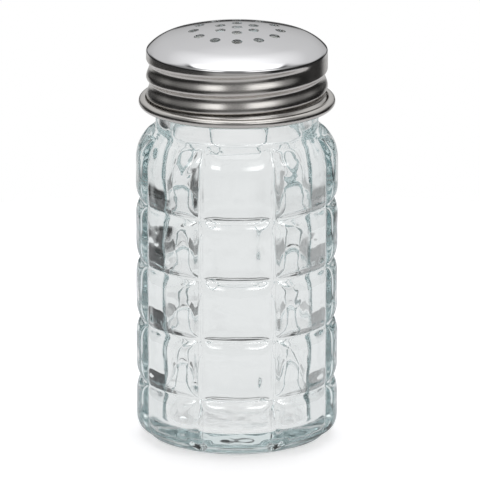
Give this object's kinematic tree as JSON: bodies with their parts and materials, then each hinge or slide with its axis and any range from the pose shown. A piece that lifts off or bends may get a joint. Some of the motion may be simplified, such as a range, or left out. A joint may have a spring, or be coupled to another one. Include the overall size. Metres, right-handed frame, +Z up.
{
  "type": "spice shaker",
  "caption": "Clear pressed-glass table shaker with columns of raised blocks and a stainless-steel screw cap whose domed top is perforated for sprinkling salt, pepper or spice.",
  "frame": {"origin": "centre of the base, on the surface that the jar stands on", "axes": "+Z up along the jar to the cap; -Y is the front, where a column of blocks and a hole of each ring face the viewer; +X is to the viewer's right"},
  "size_m": [0.0452, 0.0452, 0.0945],
  "materials": {
    "clear_glass": "clear pressed glass, glossy, faintly cool in the thick parts",
    "stainless_sheet": "stamped stainless sheet, bright dome and satin skirt"
  },
  "bodies": {
    "jar": {"glass_jar": "clear_glass"},
    "cap": {"screw_cap": "stainless_sheet"}
  },
  "joints": [
    {"name": "cap_lift", "type": "slide", "parent": "jar", "child": "cap", "axis": [0, 0, 1], "range_m": [0, 0.05]}
  ]
}
